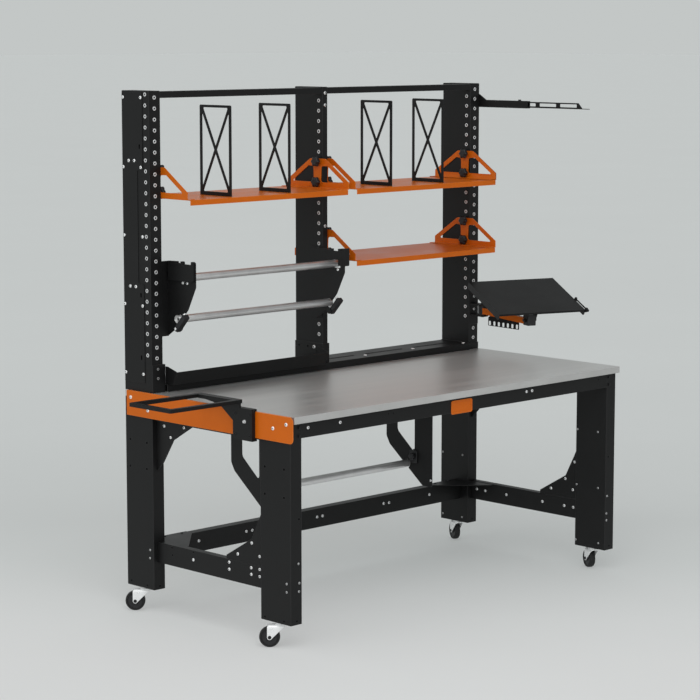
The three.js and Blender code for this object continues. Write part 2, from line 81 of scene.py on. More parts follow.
def surface(name, dark, light, rough, metallic=0.0, specular=0.5, grain=(1400, 0.35, 0.00008), patch=6.0, stretch=(1, 1, 1), coat=0.0, glint_fleck=None):
    """A coated, plated or moulded surface: patchy colour and sheen, fine grain in the bump."""
    m = bpy.data.materials.new(name)
    m.use_nodes = True
    t = m.node_tree
    b = t.nodes["Principled BSDF"]
    b.inputs["Metallic"].default_value = metallic
    b.inputs["Specular IOR Level"].default_value = specular
    if coat:
        b.inputs["Coat Weight"].default_value = coat
        b.inputs["Coat Roughness"].default_value = 0.18
    co = node(t, "ShaderNodeTexCoord")
    mp = node(t, "ShaderNodeMapping")
    mp.inputs["Scale"].default_value = stretch
    t.links.new(co.outputs["Object"], mp.inputs["Vector"])

    big = node(t, "ShaderNodeTexNoise", Scale=patch, Detail=5.0, Roughness=0.6)
    t.links.new(mp.outputs["Vector"], big.inputs["Vector"])
    fine = node(t, "ShaderNodeTexNoise", Scale=grain[0], Detail=3.0, Roughness=0.55)
    t.links.new(mp.outputs["Vector"], fine.inputs["Vector"])

    ramp = t.nodes.new("ShaderNodeValToRGB")
    ramp.color_ramp.elements[0].position = 0.3
    ramp.color_ramp.elements[0].color = (*dark, 1)
    ramp.color_ramp.elements[1].position = 0.7
    ramp.color_ramp.elements[1].color = (*light, 1)
    t.links.new(big.outputs["Fac"], ramp.inputs["Fac"])
    colour = ramp.outputs["Color"]
    if glint_fleck:
        # painted glints: tiny paler flecks in the colour where the grain of the texture would catch light
        sr = node(t, "ShaderNodeMapRange")
        sr.inputs["From Min"].default_value = 0.56
        sr.inputs["From Max"].default_value = 0.74
        t.links.new(fine.outputs["Fac"], sr.inputs["Value"])
        mix = t.nodes.new("ShaderNodeMix")
        mix.data_type = "RGBA"
        mix.inputs[7].default_value = (*glint_fleck, 1)
        t.links.new(sr.outputs["Result"], mix.inputs[0])
        t.links.new(colour, mix.inputs[6])
        colour = mix.outputs[2]
    t.links.new(colour, b.inputs["Base Color"])

    rr = node(t, "ShaderNodeMapRange")
    rr.inputs["From Min"].default_value = 0.3
    rr.inputs["From Max"].default_value = 0.7
    rr.inputs["To Min"].default_value = rough[0]
    rr.inputs["To Max"].default_value = rough[1]
    t.links.new(big.outputs["Fac"], rr.inputs["Value"])
    t.links.new(rr.outputs["Result"], b.inputs["Roughness"])

    bump = node(t, "ShaderNodeBump", Strength=grain[1], Distance=grain[2])
    t.links.new(fine.outputs["Fac"], bump.inputs["Height"])
    t.links.new(bump.outputs["Normal"], b.inputs["Normal"])
    return m


BLACK = surface("black_coat", (0.0068, 0.0069, 0.0071), (0.0096, 0.0097, 0.0100), (0.40, 0.50), specular=0.22, glint_fleck=(0.0135, 0.0135, 0.014))
BLACK_EDGE = surface("black_coat_edge", (0.012, 0.012, 0.0125), (0.021, 0.021, 0.0215), (0.36, 0.46), specular=0.3)
ORANGE = surface("orange_coat", (0.590, 0.119, 0.003), (0.660, 0.136, 0.0044), (0.28, 0.38), specular=0.17, glint_fleck=(0.73, 0.16, 0.008))
ORANGE_EDGE = surface("orange_coat_edge", (0.68, 0.165, 0.012), (0.76, 0.20, 0.022), (0.28, 0.38), specular=0.4)
STEEL_TOP = surface("steel_facing", (0.62, 0.62, 0.61), (0.70, 0.70, 0.69), (0.32, 0.42), metallic=0.72, grain=(520, 0.05, 0.00004), patch=2.2, stretch=(0.35, 6.0, 1.0))
STEEL_EDGE = surface("steel_facing_edge", (0.70, 0.695, 0.68), (0.80, 0.795, 0.78), (0.28, 0.38), metallic=0.6, grain=(900, 0.05, 0.00004))
STEEL_BAND = surface("steel_edge_band", (0.455, 0.455, 0.447), (0.525, 0.525, 0.517), (0.42, 0.52), metallic=0.1, grain=(700, 0.06, 0.00004), patch=5)
ZINC = surface("zinc", (0.90, 0.905, 0.91), (0.96, 0.965, 0.97), (0.24, 0.36), metallic=0.25, grain=(700, 0.12, 0.00005), patch=40)
ZINC_INSERT = surface("zinc_insert", (0.64, 0.644, 0.65), (0.71, 0.714, 0.72), (0.28, 0.40), metallic=0.25, grain=(700, 0.12, 0.00005), patch=40)
ZINC_DULL = surface("zinc_dull", (0.40, 0.403, 0.406), (0.48, 0.483, 0.486), (0.30, 0.44), metallic=0.25, grain=(700, 0.12, 0.00005), patch=40)
TUBE = surface("zinc_tube", (0.64, 0.64, 0.64), (0.72, 0.72, 0.72), (0.28, 0.36), metallic=0.75, grain=(260, 0.02, 0.00002), patch=5, stretch=(4.0, 1.0, 1.0))
RUBBER = surface("tyre", (0.010, 0.0102, 0.0105), (0.017, 0.017, 0.0175), (0.55, 0.72), specular=0.35, grain=(900, 0.5, 0.00012), patch=30)
PLASTIC = surface("moulded_plastic", (0.011, 0.011, 0.0125), (0.017, 0.017, 0.019), (0.36, 0.48), specular=0.4, grain=(1100, 0.3, 0.0001), patch=25)
# painted shade: a near-black finish for the insides of sockets, bores, holes, slots, grooves and the tube bores,
# standing in for the shade in them
HOLE_SHADE = surface("shadowed_hole", (0.0022, 0.0022, 0.0024), (0.0034, 0.0034, 0.0036), (0.85, 0.95), specular=0.05, grain=(1200, 0.2, 0.0001))
OXIDE = surface("black_oxide", (0.010, 0.010, 0.011), (0.020, 0.020, 0.021), (0.34, 0.46), metallic=0.4, specular=0.4, grain=(900, 0.2, 0.00006), patch=60)
FLOOR = surface("floor", (0.430, 0.439, 0.436), (0.444, 0.453, 0.450), (0.85, 0.95), specular=0.08, grain=(60, 0.02, 0.0002), patch=0.6)
# the floor glows with painted light along a fixed ramp: brightest just in front of the part, with painted shade where
# it is dimmest just behind it; the glow also fills in the part's shadow on the floor
t = FLOOR.node_tree
b = t.nodes["Principled BSDF"]
co = node(t, "ShaderNodeTexCoord")
dot = node(t, "ShaderNodeVectorMath")
dot.operation = "DOT_PRODUCT"
dot.inputs[1].default_value = (0.7, 0.7, 0.0)
t.links.new(co.outputs["Object"], dot.inputs[0])
span = node(t, "ShaderNodeMapRange")
span.inputs["From Min"].default_value = -9.39
span.inputs["From Max"].default_value = 6.61
t.links.new(dot.outputs["Value"], span.inputs["Value"])
ramp = t.nodes.new("ShaderNodeValToRGB")
stops = ((0.0, 0.271, 1), (0.52, 0.3075, 0), (0.5575, 0.296, 0.3), (0.6175, 0.256, 1), (0.6675, 0.231, 1), (0.806, 0.259, 1), (1.0, 0.271, 1))
while len(ramp.color_ramp.elements) < len(stops):
    ramp.color_ramp.elements.new(0.5)
for e, (at, v, tint) in zip(ramp.color_ramp.elements, stops):
    e.position = at
for e, (at, v, tint) in zip(ramp.color_ramp.elements, stops):
    e.color = (v * (1 - 0.026 * tint), v * (1 + 0.018 * tint), v * (1 + 0.008 * tint), 1)
t.links.new(span.outputs["Result"], ramp.inputs["Fac"])
t.links.new(ramp.outputs["Color"], b.inputs["Emission Color"])
b.inputs["Emission Strength"].default_value = 1.0


# ---------------------------------------------------------------- carried-over nodes
WELD = {"under_arm_left": 0.0003}


def dress(name, main, edge, width, segments=2):
    o = nodes[name]
    me = o.data
    me.materials.clear()
    me.materials.append(main)
    me.materials.append(edge)
    if "custom_normal" in me.attributes:
        me.attributes.remove(me.attributes["custom_normal"])
    me.shade_smooth()
    for p in me.polygons:
        p.material_index = 0
    w = o.modifiers.new("weld", "WELD")
    w.merge_threshold = WELD.get(name, 0.00001)
    d = o.modifiers.new("flats", "DECIMATE")
    d.decimate_type = "DISSOLVE"
    d.angle_limit = math.radians(0.5)
    b = o.modifiers.new("edges", "BEVEL")
    b.width = width * 0.001
    b.segments = segments
    b.limit_method = "ANGLE"
    b.angle_limit = math.radians(32)
    b.use_clamp_overlap = True
    b.material = 1
    c = o.modifiers.new("clean", "WELD")
    c.merge_threshold = 0.00002
    n = o.modifiers.new("normals", "WEIGHTED_NORMAL")
    n.keep_sharp = False
    n.weight = 60


FINISH = {s["node"]: s["material_slot"] for s in frame["record"]["subparts"]}
LOOK = {
    "black_powder_coat": (BLACK, BLACK_EDGE, 0.9),
    "orange_powder_coat": (ORANGE, ORANGE_EDGE, 0.9),
    "steel_faced_board": (STEEL_TOP, STEEL_EDGE, 1.6),
    "zinc_plate": (ZINC, ZINC, 0.6),
    "wheel_rubber": (RUBBER, RUBBER, 0.8),
    "black_plastic": (PLASTIC, PLASTIC, 1.4),
}
WIDTH = {"leg_": 1.6, "upright_": 1.5, "top_rail": 1.2, "bracket_": 0.7, "divider_": 1.2, "parts_trough": 0.7, "bag_holder": 1.6,
         "tilt_tray": 0.8, "roll_bracket": 0.8, "base_channel": 1.4, "shelf_": 0.9, "tray_arm": 1.5, "side_rail": 1.0}
for name in nodes:
    main, edge, width = LOOK[FINISH[name]]
    width = next((w for k, w in WIDTH.items() if name.startswith(k)), width)
    dress(name, main, edge, width)


# ---------------------------------------------------------------- mesh helpers
class Kit:
    def __init__(self):
        self.verts, self.faces, self.mats = [], [], []

    def add(self, verts, faces, mats):
        base = len(self.verts)
        self.verts += [Vector(v) for v in verts]
        self.faces += [[base + i for i in f] for f in faces]
        self.mats += mats if isinstance(mats, list) else [mats] * len(faces)


def make(name, kit, body, mats, sharp=38, bevel=0.0, solid=0.0, replaces=()):
    me = bpy.data.meshes.new(name)
    me.from_pydata([tuple(v * 0.001 + SHIFT) for v in kit.verts], [], kit.faces)
    for m in mats:
        me.materials.append(m)
    me.polygons.foreach_set("material_index", kit.mats)
    me.shade_smooth()
    me.set_sharp_from_angle(angle=math.radians(sharp))
    me.update()
    o = bpy.data.objects.new(name, me)
    bpy.context.scene.collection.objects.link(o)
    if solid:
        s = o.modifiers.new("sheet", "SOLIDIFY")
        s.thickness = solid * 0.001
        s.offset = 0.0
    if bevel:
        b = o.modifiers.new("edges", "BEVEL")
        b.width = bevel * 0.001
        b.segments = 2
        b.limit_method = "ANGLE"
        b.angle_limit = math.radians(40)
    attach(o, body)
    if replaces:
        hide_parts(*replaces)
    return o


def axes(n):
    n = Vector(n).normalized()
    ref = Vector((0, 0, 1)) if abs(n.z) < 0.9 else Vector((1, 0, 0))
    u = ref.cross(n).normalized()
    return u, n.cross(u), n


def revolve(kit, o, n, prof, segs=16, hexes=(), closed=False, lobes=None):
    """prof: (radius, height, material of the band that follows)"""
    o = Vector(o)
    u, v, n = axes(n)
    verts, rings = [], []
    for i, p in enumerate(prof):
        r, h = p[0], p[1]
        if r == 0:
            rings.append([len(verts)])
            verts.append(o + n * h)
            continue
        ring = []
        for j in range(segs):
            a = 2 * math.pi * j / segs
            k = r
            if i in hexes:
                k = r * math.cos(math.pi / 6) / math.cos((a % (math.pi / 3)) - math.pi / 6)
            if lobes and i in lobes[0]:
                k = r * (1 + lobes[2] * math.cos(lobes[1] * a))
            ring.append(len(verts))
            verts.append(o + u * (k * math.cos(a)) + v * (k * math.sin(a)) + n * h)
        rings.append(ring)
    faces, mats = [], []
    pairs = list(zip(range(len(prof) - 1), range(1, len(prof))))
    if closed:
        pairs.append((len(prof) - 1, 0))
    for i, k in pairs:
        a, b = rings[i], rings[k]
        m = prof[i][2] if len(prof[i]) > 2 else 0
        for j in range(segs):
            q = (j + 1) % segs
            if len(a) == 1 and len(b) == 1:
                continue
            if len(a) == 1:
                faces.append([a[0], b[q], b[j]])
            elif len(b) == 1:
                faces.append([a[j], a[q], b[0]])
            else:
                faces.append([a[j], a[q], b[q], b[j]])
            mats.append(m)
    if not closed:
        # flat ends
        if len(rings[0]) > 1:
            faces.append(rings[0][::-1])
            mats.append(0)
        if len(rings[-1]) > 1:
            faces.append(list(rings[-1]))
            mats.append(0)
    kit.add(verts, faces, mats)


def rounded(pts, steps=5):
    out = []
    n = len(pts)
    for i, p in enumerate(pts):
        r = p[2] if len(p) > 2 else 0
        P = Vector(p[:2])
        if not r:
            out.append(P)
            continue
        a = (Vector(pts[i - 1][:2]) - P).normalized()
        b = (Vector(pts[(i + 1) % n][:2]) - P).normalized()
        half = math.acos(max(-1, min(1, a.dot(b)))) / 2
        t = r / math.tan(half)
        s, e = P + a * t, P + b * t
        c = P + (a + b).normalized() * (r / math.sin(half))
        a0 = math.atan2(s.y - c.y, s.x - c.x)
        d = math.atan2(e.y - c.y, e.x - c.x) - a0
        while d > math.pi:
            d -= 2 * math.pi
        while d < -math.pi:
            d += 2 * math.pi
        out += [Vector((c.x + r * math.cos(a0 + d * k / steps), c.y + r * math.sin(a0 + d * k / steps))) for k in range(steps + 1)]
    return out


def area(loop):
    return sum(loop[i - 1].x * loop[i].y - loop[i].x * loop[i - 1].y for i in range(len(loop))) / 2


def inset(loop, c):
    out = []
    n = len(loop)
    for i in range(n):
        p, a, b = loop[i], loop[i - 1], loop[(i + 1) % n]
        e1, e2 = (p - a).normalized(), (b - p).normalized()
        n1, n2 = Vector((-e1.y, e1.x)), Vector((-e2.y, e2.x))
        out.append(p + (n1 + n2) * (c / max(0.3, 1 + n1.dot(n2))))
    return out


def prism(kit, outline, o, u, v, h0, h1, c=0.6, holes=(), mat=0, edge_mat=None):
    """A plate: outline in (u, v) at o, from h0 to h1 along u x v, with chamfered edges."""
    o, u, v = Vector(o), Vector(u), Vector(v)
    n = u.cross(v)
    loops = []
    for i, l in enumerate([outline, *holes]):
        l = rounded(l)
        if (area(l) < 0) == (i == 0):
            l = l[::-1]
        loops.append(l)
    edge_mat = mat if edge_mat is None else edge_mat
    levels = [(c, h0), (0, h0 + c), (0, h1 - c), (c, h1)] if c else [(0, h0), (0, h1)]
    verts, faces, mats, start = [], [], [], []
    for off, h in levels:
        row = []
        for l in loops:
            row.append(len(verts))
            verts += [o + u * p.x + v * p.y + n * h for p in (inset(l, off) if off else l)]
        start.append(row)
    for k in range(len(levels) - 1):
        for li, l in enumerate(loops):
            m = len(l)
            for i in range(m):
                j = (i + 1) % m
                faces.append([start[k][li] + i, start[k][li] + j, start[k + 1][li] + j, start[k + 1][li] + i])
                mats.append(mat if (not c or k == 1) else edge_mat)
    flat = [[Vector((p.x, p.y, 0)) for p in inset(l, c)] for l in loops] if c else [[Vector((p.x, p.y, 0)) for p in l] for l in loops]
    pts = [p for l in flat for p in l]
    for tri in tessellate_polygon(flat):
        a, b, d = (pts[i] for i in tri)
        up = (b - a).cross(d - a).z > 0
        t = list(tri) if up else list(tri)[::-1]
        faces.append([start[-1][0] + i for i in t])
        faces.append([start[0][0] + i for i in t[::-1]])
        mats += [mat, mat]
    kit.add(verts, faces, mats)


X, Y, Z = Vector((1, 0, 0)), Vector((0, 1, 0)), Vector((0, 0, 1))


def block(kit, x0, x1, y0, y1, z0, z1, c=0.6, r=0.0, mat=0, edge_mat=None):
    """A box with rounded corners seen along its thinnest side."""
    d = (x1 - x0, y1 - y0, z1 - z0)
    k = d.index(min(d))
    if k == 0:
        prism(kit, [(y0, z0, r), (y1, z0, r), (y1, z1, r), (y0, z1, r)], (0, 0, 0), Y, Z, x0, x1, c, mat=mat, edge_mat=edge_mat)
    elif k == 1:
        prism(kit, [(z0, x0, r), (z1, x0, r), (z1, x1, r), (z0, x1, r)], (0, 0, 0), Z, X, y0, y1, c, mat=mat, edge_mat=edge_mat)
    else:
        prism(kit, [(x0, y0, r), (x1, y0, r), (x1, y1, r), (x0, y1, r)], (0, 0, 0), X, Y, z0, z1, c, mat=mat, edge_mat=edge_mat)


def sweep(kit, path, r, segs=10, closed=False, mat=0):
    path = [Vector(p) for p in path]
    n = len(path)
    tang = []
    for i in range(n):
        a = path[i - 1] if (i or closed) else path[i]
        b = path[(i + 1) % n] if (i < n - 1 or closed) else path[i]
        tang.append((b - a).normalized())
    u = axes(tang[0])[0]
    verts, faces = [], []
    for i in range(n):
        u = (u - tang[i] * u.dot(tang[i])).normalized()
        w = tang[i].cross(u)
        for j in range(segs):
            a = 2 * math.pi * j / segs
            verts.append(path[i] + u * (r * math.cos(a)) + w * (r * math.sin(a)))
    for i in range(n if closed else n - 1):
        k = (i + 1) % n
        for j in range(segs):
            q = (j + 1) % segs
            faces.append([i * segs + j, i * segs + q, k * segs + q, k * segs + j])
    if not closed:
        faces.append([j for j in range(segs)][::-1])
        faces.append([(n - 1) * segs + j for j in range(segs)])
    kit.add(verts, faces, mat)


# ---------------------------------------------------------------- fasteners
# the hex socket takes the second material slot, which with the near-black hole finish is painted shade in the socket
def button(kit, o, n, d=12.5, h=3.4):
    r = d / 2
    revolve(kit, o, n, [(r, 0), (r, 0.2 * h), (0.95 * r, 0.42 * h), (0.83 * r, 0.72 * h), (0.64 * r, 0.93 * h), (0.47 * r, h),
                        (0.42 * r, 0.95 * h, 1), (0.38 * r, 0.45 * h, 1), (0, 0.4 * h, 1)], 12, hexes=(6, 7))


def hexagon(kit, o, n, d=13.0, h=5.5, washer=16.0):
    r = d / 2
    revolve(kit, o, n, [(washer / 2, 0), (washer / 2, 0.9), (washer / 2 - 0.4, 1.2), (r * 1.0, 1.2)], 24)
    revolve(kit, o, n, [(r, 1.2), (r, h * 0.86), (r * 0.9, h), (r * 0.4, h), (r * 0.36, h - 0.5), (0, h - 0.5)], 12, hexes=(0, 1))


# the insert's bore is a shallow dish in the second material: painted shade standing in for the threaded hole
def insert_nut(kit, o, n):
    revolve(kit, o, n, [(7.6, 0), (7.6, 0.45), (7.1, 1.05), (6.3, 1.25), (4.9, 1.25), (4.0, 0.9), (3.6, 0.2, 1), (0, 0.15, 1)], 18)


# a hole drawn as a thin raised ring round a shallow near-black disc: the disc is painted shade standing in for the hole
def bare_hole(kit, o, n, r=4.6):
    revolve(kit, o, n, [(r + 1.5, 0), (r + 1.1, 0.22), (r + 0.3, 0.22), (r, 0.1, 1), (0, 0.08, 1)], 16)


def star_knob(kit, o, n, R=16.5, h=21.0):
    k = h / 21.0
    prof = [(R * 0.56, 0), (R * 0.56, 5.0 * k), (R * 0.62, 5.6 * k), (R * 0.86, 6.6 * k), (R * 0.97, 8.6 * k), (R, 11 * k), (R, 15.5 * k), (R * 0.96, 18 * k),
            (R * 0.84, 20 * k), (R * 0.62, 21 * k), (R * 0.42, 21 * k), (R * 0.39, 20.2 * k, 0), (R * 0.30, 20.2 * k), (0, 20.5 * k)]
    revolve(kit, o, n, prof, 60, lobes=(range(3, 10), 6, 0.13))


LEFT, RIGHT, FRONT, REAR, UP, DOWN = (-1, 0, 0), (1, 0, 0), (0, -1, 0), (0, 1, 0), (0, 0, 1), (0, 0, -1)
# the second slot of bolts and inserts is the near-black hole finish: painted shade in their sockets and bores
BOLT_MATS = [ZINC, HOLE_SHADE]
INSERT_MATS = [ZINC_INSERT, HOLE_SHADE]

# threaded inserts in columns on the uprights, left free where a bracket lies over them
side_rows = [1938.6 - 40 * k for k in range(25)]
front_rows = [1927.3 - 40 * k for k in range(25)]


def column(kit, x, n, covered, y=0.0, rows=side_rows):
    for z in rows:
        if not any(a - 8 < z < b + 8 for a, b in covered):
            insert_nut(kit, (x, y, z), n)


UPPER, LOWER = (1558, 1673), (1278, 1393)
RAIL, ROLL = (1924, 1951), (1045, 1327)
kit = Kit()
column(kit, 0, LEFT, [])
column(kit, 53.5, RIGHT, [RAIL, UPPER, ROLL])
for z in front_rows:
    insert_nut(kit, (26, -22, z), FRONT)
for z in (927.0, 892.0):
    bare_hole(kit, (26.6, -27, z), FRONT, 3.2)
make("insert_nuts_left", kit, "bench", INSERT_MATS)

kit = Kit()
column(kit, 877, LEFT, [RAIL, UPPER, ROLL])
column(kit, 903, RIGHT, [RAIL, UPPER, LOWER])
for x, z in ((890, 1928), (890, 1881), (889, 1408)):
    button(kit, (x, -22, z), FRONT, 13)
button(kit, (872, 23, 926), LEFT, 15, 4.2)
make("insert_nuts_middle", kit, "bench", INSERT_MATS)

kit = Kit()
column(kit, 1728.8, LEFT, [RAIL, UPPER, LOWER])
column(kit, 1782.3, RIGHT, [(1852, 1915)])
for z in front_rows:
    if z > 1092:
        insert_nut(kit, (1754.8, -22, z), FRONT)
for z in (1062.0, 1008.0):
    button(kit, (1754.8, -25.3, z), FRONT, 13)
for z in (927.3, 887.3):
    insert_nut(kit, (1754.8, -22, z), FRONT)
make("insert_nuts_right", kit, "bench", INSERT_MATS)

# rear cover plates on the outer sides of the end uprights, with bolts and oblong slots
plate = [(16, 1945, 2), (16, 1664, 2), (47, 1660, 2), (47, 1244, 2), (16, 1240, 2), (16, 871, 2), (131.5, 871, 2), (131.5, 1945, 2)]
slots = [(33, 1748), (33, 1200), (34, 967)]
slot_outline = [[(y - 4, z - 9, 3.9), (y + 4, z - 9, 3.9), (y + 4, z + 9, 3.9), (y - 4, z + 9, 3.9)] for y, z in slots]
plate_bolts = [(124, 1927), (23, 1927), (94, 1695), (62, 1696), (125, 1671), (25, 1672), (125, 1418), (93, 1230), (61, 1230), (125, 1162), (23, 1161), (125, 905), (23, 906)]
for side, x, out in (("left", 0.0, -1), ("right", 1782.3, 1)):
    kit = Kit()
    lo, hi = sorted((x + out * 0.1, x + out * 2.1))
    high = [p for p in plate]
    if side == "right":
        # the boom's sleeve is bolted to this side higher up
        high = [(47, 1840, 2), (47, 1244, 2), (16, 1240, 2), (16, 871, 2), (131.5, 871, 2), (131.5, 1840, 2)]
    cut = [s for s, (y, z) in zip(slot_outline, slots) if side == "left" or z < 1240]
    prism(kit, high, (0, 0, 0), Y, Z, lo, hi, 0.5, holes=cut, edge_mat=1)
    # near-black sheets set just inside each slot: painted shade seen through the slots
    for y, z in slots:
        if side == "left" or z < 1240:
            lo2, hi2 = sorted((x + out * 0.05, x + out * 0.4))
            prism(kit, [(y - 4.6, z - 9.6, 4.4), (y + 4.6, z - 9.6, 4.4), (y + 4.6, z + 9.6, 4.4), (y - 4.6, z + 9.6, 4.4)], (0, 0, 0), Y, Z, lo2, hi2, 0, mat=2)
    make(f"cover_plate_{side}", kit, "bench", [BLACK, BLACK_EDGE, HOLE_SHADE])
    kit = Kit()
    for y, z in plate_bolts:
        if side == "left" or z < 1840:
            button(kit, (x + out * 2.1, y, z), (out, 0, 0), 12.5)
    button(kit, (x, 22, 1417), (out, 0, 0), 12.5)
    make(f"cover_plate_bolts_{side}", kit, "bench", BOLT_MATS)

# folded caps over the top of the uprights
for side, x0, x1 in (("left", 0.0, 53.5), ("middle", 877.0, 903.0), ("right", 1728.8, 1782.3)):
    kit = Kit()
    block(kit, x0 + 0.5, x1 - 0.5, -21.5, 133.5, 1950.0, 1951.6, 0.5, 2.0, edge_mat=1)
    if side != "left":
        block(kit, x0 - 1.3, x0 - 0.05, 19.0, 133.6, 1924.0, 1950.6, 0.4, 1.5, edge_mat=1)
    if side == "middle":
        block(kit, x1 + 0.05, x1 + 1.3, 19.0, 133.6, 1924.0, 1950.6, 0.4, 1.5, edge_mat=1)
    make(f"upright_cap_{side}", kit, "bench", [BLACK, BLACK_EDGE])

# foot of the middle upright: slanted slot beside its bolt; bolts on the base channel
kit = Kit()
s = Vector((-0.45, -0.89))
c = Vector((2.0, 900.0))
w = Vector((-s.y, s.x))
# the slanted slot is a thin near-black patch on the face: painted shade in place of an opening
prism(kit, [tuple(c + s * -16 + w * -3) + (2.8,), tuple(c + s * 16 + w * -3) + (2.8,), tuple(c + s * 16 + w * 3) + (2.8,), tuple(c + s * -16 + w * 3) + (2.8,)],
      (0, 0, 0), Y, Z, 871.75, 871.95, 0, mat=1)
for y in (60, 110):
    bare_hole(kit, (872, y, 926), LEFT, 4)
    bare_hole(kit, (908, y, 926), RIGHT, 4)
make("foot_slots", kit, "bench", [BLACK, HOLE_SHADE])

kit = Kit()
for x, y in ((1142.9, 8.0), (1698.6, -18), (1420, 8), (480, 40), (250, 40), (700, 40)):
    button(kit, (x, y, 867), UP, 14, 3.6)
make("base_channel_bolts", kit, "bench", BOLT_MATS)

kit = Kit()
for x0, x1 in ((960, 1110), (1175, 1390), (1450, 1660)):
    prism(kit, [(x0, 34, 5), (x1, 34, 5), (x1, 46, 5), (x0, 46, 5)], (0, 0, 0), X, Y, 867.0, 867.9, 0.3,
          holes=[[(x0 + 3, 37, 2.9), (x1 - 3, 37, 2.9), (x1 - 3, 43, 2.9), (x0 + 3, 43, 2.9)]], edge_mat=1)
    # a near-black strip set inside each slot: painted shade seen through it
    prism(kit, [(x0 + 2.5, 36.5, 3), (x1 - 2.5, 36.5, 3), (x1 - 2.5, 43.5, 3), (x0 + 2.5, 43.5, 3)], (0, 0, 0), X, Y, 867.02, 867.2, 0, mat=2)
make("base_channel_slots", kit, "bench", [BLACK, BLACK_EDGE, HOLE_SHADE])

# ---------------------------------------------------------------- bolts and holes of the frame
kit = Kit()
for x, z in ((85, 792), (242, 792), (1243, 794), (1275, 794), (488, 794), (513, 793), (1677, 795)):
    if x not in (488, 513, 1677):
        button(kit, (x, -770.8, z), FRONT, 12)
    button(kit, (x, 134, z), REAR, 12)
for y, z in ((90, 814), (-693, 791), (-761, 812), (-9, 774)):
    button(kit, (-10, y, z), LEFT, 14, 4)
for y, z in ((-67, 720), (-179, 727), (-103, 681)):
    button(kit, (20, y, z), LEFT, 12)
    button(kit, (1752, y, z), RIGHT, 12)
for y, z in ((-471, 302), (-546, 354), (-588, 311)):
    button(kit, (20, y, z), LEFT, 12)
    button(kit, (1752, y, z), RIGHT, 12)
for y, z in ((-592, 429), (-544, 354), (-468, 304), (-585, 313), (-56, 242), (-104, 241), (-223, 241), (-422, 241), (-540, 241), (-588, 241)):
    button(kit, (1749, y, z), LEFT, 12)
for y, z in ((-225, 240), (-424, 264), (-424, 238), (-543, 263), (-543, 239), (-588, 264), (-588, 238)):
    button(kit, (20, y, z), LEFT, 12)
for x, z in ((258, 236), (502, 236), (533, 236), (883, 237), (913, 237), (1262, 238), (1294, 237), (1536, 237)):
    button(kit, (x, 20, z), FRONT, 12)
button(kit, (883, -607, 472), LEFT, 9, 3)
make("frame_bolts", kit, "bench", BOLT_MATS)

kit = Kit()
for y, z in ((-1, 244), (0, 213), (-750, 242), (-750, 212)):
    button(kit, (0, y, z), LEFT, 9.5, 3)
    button(kit, (1782.3, y, z), RIGHT, 9.5, 3)
for x, z in ((37, 312), (41, 242), (39, 212), (1740, 315), (1737, 244), (1738, 216)):
    button(kit, (x, -770.8, z), FRONT, 9.5, 3)
    button(kit, (x, 134, z), REAR, 9.5, 3)
for y, z in ((-622, 571), (-728, 572), (-621, 344), (-733, 344), (-620, 115), (-738, 118), (124, 382), (10, 382), (122, 114), (11, 113)):
    button(kit, (1728.8, y, z), LEFT, 9, 2.6)
make("leg_bolts", kit, "bench", [ZINC_DULL, HOLE_SHADE])

kit = Kit()
for x, z in ((42, 797), (42, 766), (1740, 799), (1741, 768)):
    hexagon(kit, (x, -770.8, z), FRONT, 12, 5.0, 15)
    hexagon(kit, (x, 134, z), REAR, 12, 5.0, 15)
make("leg_top_bolts", kit, "bench", [OXIDE])

kit = Kit()
for y, z in ((108, 652), (11, 649), (110, 550), (13, 550), (-639, 647), (-738, 649), (-638, 549), (-737, 548)):
    bare_hole(kit, (0, y, z), LEFT, 4.8)
    bare_hole(kit, (1782.3, y, z), RIGHT, 4.8)
for y, z in ((111, 109), (19, 105), (-636, 104), (-735, 104)):
    bare_hole(kit, (0, y, z), LEFT, 4.2)
    bare_hole(kit, (1782.3, y, z), RIGHT, 4.2)
for x, z in ((40, 471), (1744, 475), (29, 106), (1757, 108)):
    bare_hole(kit, (x, -770.8, z), FRONT, 4.2)
for x, z in ((28, 105), (1757, 106)):
    bare_hole(kit, (x, -22, z), FRONT, 4.2)
for x, z in ((40, 471), (1744, 475), (29, 106), (1757, 108)):
    bare_hole(kit, (x, 134, z), REAR, 4.2)
for x, z in ((488, 794), (513, 793), (1677, 795)):
    bare_hole(kit, (x, -770.8, z), FRONT, 3.4)
for y, z in ((-104, 266), (-106, 238), (-224, 268)):
    bare_hole(kit, (20, y, z), LEFT, 3.6)
make("leg_holes", kit, "bench", [BLACK_EDGE, HOLE_SHADE])

# corner plates between the side beams and the rear beam
for side, outline, bolts in (("left", [(54.5, 56, 3), (225, 56, 3), (225, 22, 4), (62, -150, 4), (51, -150, 3), (51, -24, 2), (54.5, -24, 2)], ((105, 40), (190, 40))),
                             ("right", [(1727.8, 56, 3), (1557.3, 56, 3), (1557.3, 22, 4), (1737, -150, 4), (1748, -150, 3), (1748, -24, 2), (1727.8, -24, 2)], ((1677, 40), (1592, 40)))):
    kit = Kit()
    prism(kit, outline, (0, 0, 0), X, Y, 270.7, 273.4, 0.5, edge_mat=1)
    for x, y in bolts:
        button(kit, (x, y, 273.4), UP, 11, 3)
    make(f"corner_plate_{side}", kit, "bench", [BLACK, BLACK_EDGE])

